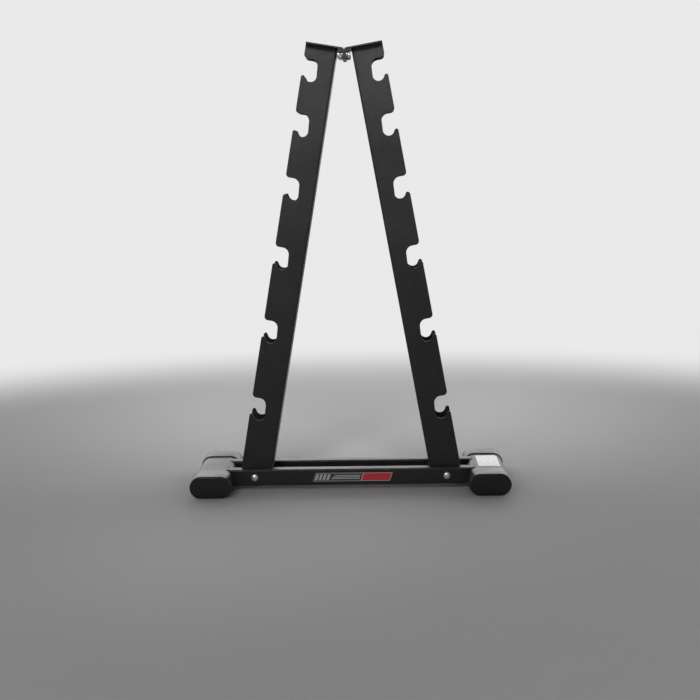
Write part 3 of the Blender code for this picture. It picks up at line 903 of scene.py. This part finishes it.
class Surface(Tree):
    """One material, with calls for its patterns, bumps and finish."""

    def __init__(self, name):
        self.material = bpy.data.materials.new(name)
        super().__init__(self.material)
        self.shader = self.nodes["Principled BSDF"]
        self.place = self.output("TexCoord", "Object")

    def noise(self, scale, detail=2.0, roughness=0.5, stretch=None):
        node = self.nodes.new("ShaderNodeTexNoise")
        node.inputs["Scale"].default_value = scale
        node.inputs["Detail"].default_value = detail
        node.inputs["Roughness"].default_value = roughness
        self.join(self.stretched(stretch) if stretch else self.place, node.inputs["Vector"])
        return node.outputs["Fac"]

    def stretched(self, scale):
        node = self.nodes.new("ShaderNodeMapping")
        node.inputs["Scale"].default_value = scale
        self.join(self.place, node.inputs["Vector"])
        return node.outputs["Vector"]

    def math(self, kind, first, second):
        node = self.nodes.new("ShaderNodeMath")
        node.operation = kind
        self.join(first, node.inputs[0])
        self.join(second, node.inputs[1])
        return node.outputs["Value"]

    def facing_up(self):
        """1 where a face looks up, 0 where it stands upright."""
        return self.span(self.parts(self.output("NewGeometry", "Normal"))["Z"], 0.55, 0.95)

    def bump(self, layers):
        """Stacks bumps given as (height, strength, distance in metres)."""
        normal = None
        for height, strength, distance in layers:
            node = self.nodes.new("ShaderNodeBump")
            node.inputs["Strength"].default_value = strength
            node.inputs["Distance"].default_value = distance
            self.join(height, node.inputs["Height"])
            if normal:
                self.join(normal, node.inputs["Normal"])
            normal = node.outputs["Normal"]
        self.join(normal, self.shader.inputs["Normal"])

    def finish(self, colour, roughness, metallic=0.0):
        self.join(colour, self.shader.inputs["Base Color"])
        self.join(roughness, self.shader.inputs["Roughness"])
        self.join(metallic, self.shader.inputs["Metallic"])
        return self.material


def grey(value, warm=0.0):
    return (value * (1 + warm), value, value * (1 - warm), 1.0)


def powder_coat():
    """Satin black powder coat: orange peel, fine grain, a little dust, and lighter sharp edges that are
    partly rubbed wear and partly a painted edge highlight.
    """
    s = Surface("powder_coat_black")
    peel = s.noise(520, 2.0, 0.45)
    grain = s.noise(2600, 1.0)
    cloud = s.noise(7, 4.0, 0.6)
    # Lighter sharp edges, broken up by noise: partly rubbed wear, partly a painted edge highlight
    edges = s.span(s.output("NewGeometry", "Pointiness"), 0.52, 0.60)
    rubbed_and_highlit = s.math("MULTIPLY", edges, s.span(s.noise(85, 4.0, 0.65), 0.44, 0.66))
    dust = s.math("MULTIPLY", s.facing_up(), s.span(s.noise(34, 5.0, 0.7), 0.35, 0.75, 0.15, 0.75))
    base = s.mix(s.span(cloud, 0.35, 0.65), grey(0.0110), grey(0.0145))
    speck = s.mix(s.span(grain, 0.66, 0.74, 0.0, 0.5), base, grey(0.022))
    dusty = s.mix(s.math("MULTIPLY", dust, 0.35), speck, grey(0.085, 0.02))
    colour = s.mix(s.math("MULTIPLY", rubbed_and_highlit, 0.45), dusty, grey(0.055))
    smooth = s.span(cloud, 0.3, 0.7, 0.33, 0.40)
    roughness = s.math("ADD", smooth, s.math("MULTIPLY", dust, 0.10))
    s.bump([(peel, 0.22, 0.00025), (grain, 0.12, 0.00006)])
    return s.finish(colour, roughness)


def moulded_rubber():
    """Matte black rubber: moulding grain, dull bloom and dust on top."""
    s = Surface("moulded_rubber_black")
    grain = s.noise(1500, 3.0, 0.6)
    skin = s.noise(240, 2.0)
    cloud = s.noise(16, 5.0, 0.65)
    dust = s.math("MULTIPLY", s.facing_up(), s.span(s.noise(48, 5.0, 0.7), 0.30, 0.75, 0.2, 0.8))
    scuffs = s.noise(70, 4.0, 0.7, (1.0, 6.0, 6.0))
    scuffed = s.span(scuffs, 0.60, 0.70, 0.0, 0.5)
    base = s.mix(s.span(cloud, 0.3, 0.7), grey(0.0060), grey(0.0095, 0.02))
    marked = s.mix(scuffed, base, grey(0.026))
    colour = s.mix(s.math("MULTIPLY", dust, 0.35), marked, grey(0.080, 0.02))
    roughness = s.span(cloud, 0.3, 0.7, 0.33, 0.42)
    s.bump([(skin, 0.18, 0.0003), (grain, 0.30, 0.00010)])
    return s.finish(colour, roughness)


def zinc_plate(name, cool, warm, dull, smooth, rough):
    """Zinc plating: fine drawing marks, dull patches and a faint blue-yellow tint."""
    s = Surface(name)
    marks = s.noise(2400, 2.0, 0.6, (1.0, 0.12, 1.0))
    patches = s.noise(160, 4.0, 0.6)
    tint = s.noise(90, 2.0)
    colour = s.mix(s.span(tint, 0.35, 0.65), cool, warm)
    dulled = s.mix(s.span(patches, 0.58, 0.75, 0.0, 0.4), colour, dull)
    roughness = s.span(patches, 0.3, 0.7, smooth, rough)
    s.bump([(marks, 0.10, 0.00005), (patches, 0.08, 0.0001)])
    return s.finish(dulled, roughness, 0.85)


def nylon_ring():
    s = Surface("nylon_white")
    grain = s.noise(900, 2.0)
    colour = s.mix(grain, (0.62, 0.64, 0.66, 1.0), (0.74, 0.75, 0.76, 1.0))
    s.bump([(grain, 0.1, 0.0001)])
    return s.finish(colour, s.span(grain, 0.3, 0.7, 0.40, 0.50))


def printed_film(name, colour, deeper):
    """Printed vinyl: a faint print grain and soft unevenness from the steel beneath."""
    s = Surface(name)
    grain = s.noise(1900, 2.0)
    broad = s.noise(60, 3.0)
    tone = s.mix(s.span(grain, 0.35, 0.65), colour, deeper)
    s.bump([(broad, 0.15, 0.0002), (grain, 0.08, 0.00004)])
    return s.finish(tone, s.span(broad, 0.3, 0.7, 0.34, 0.46))


def blank_paper():
    """Coated label paper: faint fibres, soft creases and a slightly uneven white."""
    s = Surface("label_paper_blank")
    fibres = s.noise(1300, 4.0, 0.7, (1.0, 0.3, 1.0))
    creases = s.noise(42, 3.0, 0.6)
    colour = s.mix(s.span(fibres, 0.3, 0.7), grey(0.86, 0.01), grey(0.93))
    s.bump([(creases, 0.25, 0.0006), (fibres, 0.10, 0.00005)])
    return s.finish(colour, s.span(creases, 0.3, 0.7, 0.24, 0.34))


def studio_floor():
    """A pale matt floor that turns into the pale backdrop some way off, all round the rack."""
    s = Surface("studio_floor")
    cloud = s.noise(1.3, 4.0, 0.6)
    grain = s.noise(160, 4.0, 0.6)
    colour = s.mix(s.span(cloud, 0.3, 0.7), grey(FLOOR_TONE * 0.97), grey(FLOOR_TONE))
    s.bump([(grain, 0.10, 0.0005)])
    s.finish(colour, 0.75)
    place = s.parts(s.place)
    squares = [s.math("POWER", place[axis], 2.0) for axis in "XY"]
    away = s.math("SQRT", s.math("ADD", *squares), 0.0)
    fade = s.span(away, FLOOR_NEAR, FLOOR_FAR, easing="SMOOTHERSTEP")
    glow = s.nodes.new("ShaderNodeEmission")
    glow.inputs["Color"].default_value = grey(BACKDROP_TONE)
    blend = s.nodes.new("ShaderNodeMixShader")
    s.join(s.math("MULTIPLY", fade, s.output("LightPath", "Is Camera Ray")), blend.inputs["Fac"])
    s.join(s.shader.outputs["BSDF"], blend.inputs[1])
    s.join(glow.outputs["Emission"], blend.inputs[2])
    s.join(blend.outputs["Shader"], s.nodes["Material Output"].inputs["Surface"])
    return s.material


def make_materials():
    return {
        "paint": powder_coat(),
        "rubber": moulded_rubber(),
        "zinc": zinc_plate("zinc_plate_bright", (0.86, 0.88, 0.91, 1.0), (0.92, 0.90, 0.86, 1.0),
                           grey(0.60), 0.27, 0.38),
        # Washers: a darker copy of the zinc, painted shade for washers that sit in the shade of the
        # heads and nuts
        "shaded_zinc": zinc_plate("zinc_plate_painted_shade", (0.34, 0.35, 0.37, 1.0), (0.38, 0.37, 0.34, 1.0),
                                grey(0.24), 0.42, 0.55),
        "nylon": nylon_ring(),
        "badge_pale": printed_film("badge_film_pale", grey(0.60), grey(0.52)),
        "badge_grey": printed_film("badge_film_grey", grey(0.060), grey(0.050)),
        "badge_red": printed_film("badge_film_red", (0.74, 0.045, 0.055, 1.0),
                                  (0.66, 0.036, 0.045, 1.0)),
        "paper": blank_paper(),
    }


# Studio

def studio_world():
    """A pale backdrop to the eye. Its light comes mostly from low behind the rack."""
    world = bpy.data.worlds.new("studio")
    sky = Tree(world)
    direction = sky.parts(sky.output("TexCoord", "Generated"))

    def ramp(levels):
        node = sky.nodes.new("ShaderNodeValToRGB")
        stops = node.color_ramp.elements
        for height, _ in levels[1:-1]:
            stops.new(height)
        for stop, (_, light) in zip(stops, levels):
            stop.color = grey(light)
        sky.join(direction["Z"], node.inputs["Fac"])
        return node.outputs["Color"]

    behind = sky.span(direction["Y"], *SKY_TURN, easing="SMOOTHSTEP")
    light = sky.mix(behind, ramp(FRONT_LIGHT), ramp(REAR_LIGHT))
    seen = sky.mix(sky.output("LightPath", "Is Camera Ray"), light, grey(BACKDROP_TONE))
    sky.join(seen, sky.nodes["Background"].inputs["Color"])
    return world


def add_floor():
    rim = circle(FLOOR_RADIUS, 96)
    bm = bmesh.new()
    loft(bm, [along_z(rim, -FLOOR_THICK), along_z(rim, 0.0)])
    floor = new_object("floor", bm)
    floor.data.materials.append(studio_floor())


def add_light(name, place, aim, size, power, spread):
    """A soft rectangular light at a place, turned towards a point."""
    data = bpy.data.lights.new(name, "AREA")
    data.shape = "RECTANGLE"
    data.size, data.size_y = size
    data.energy = power
    data.spread = spread
    light = bpy.data.objects.new(name, data)
    light.location = place
    light.rotation_euler = (Vector(aim) - Vector(place)).to_track_quat("-Z", "Y").to_euler()
    bpy.context.scene.collection.objects.link(light)


def add_studio():
    bpy.context.scene.world = studio_world()
    add_light("key", *KEY_LIGHT)
    add_light("low", *LOW_LIGHT)
    bpy.context.scene.view_settings.view_transform = "Standard"


def add_camera():
    data = bpy.data.cameras.new("camera")
    data.lens = CAMERA_LENS
    data.shift_y = CAMERA_SHIFT
    camera = bpy.data.objects.new("camera", data)
    look = Matrix.Rotation(CAMERA_YAW, 4, "Z") @ Matrix.Rotation(math.pi / 2 - CAMERA_PITCH, 4, "X")
    look @= Matrix.Rotation(-CAMERA_ROLL, 4, "Z")
    camera.matrix_world = Matrix.Translation(CAMERA_PLACE) @ look
    bpy.context.scene.collection.objects.link(camera)
    bpy.context.scene.camera = camera


def main():
    mats = make_materials()
    paint = mats["paint"]
    for word, side in SIDES.items():
        add_foot_tube(word, side, paint)
        add_saddle(word, paint)
        add_upright(word, side, paint)
        add_top_plate(word, side, paint)
        add_upright_welds(word, side, paint)
        add_head_welds(word, side, paint)
        for end_word, end in ENDS.items():
            add_boot(f"{end_word}_{word}_boot", side, end, mats["rubber"])
            add_bar_welds(word, side, end_word, paint)
    for word in ENDS:
        add_crossbar(word, paint)
    add_fasteners(mats["zinc"], mats["shaded_zinc"], mats["nylon"])
    add_badge(mats)
    add_label(mats["paper"])
    add_floor()
    add_studio()
    add_camera()


main()
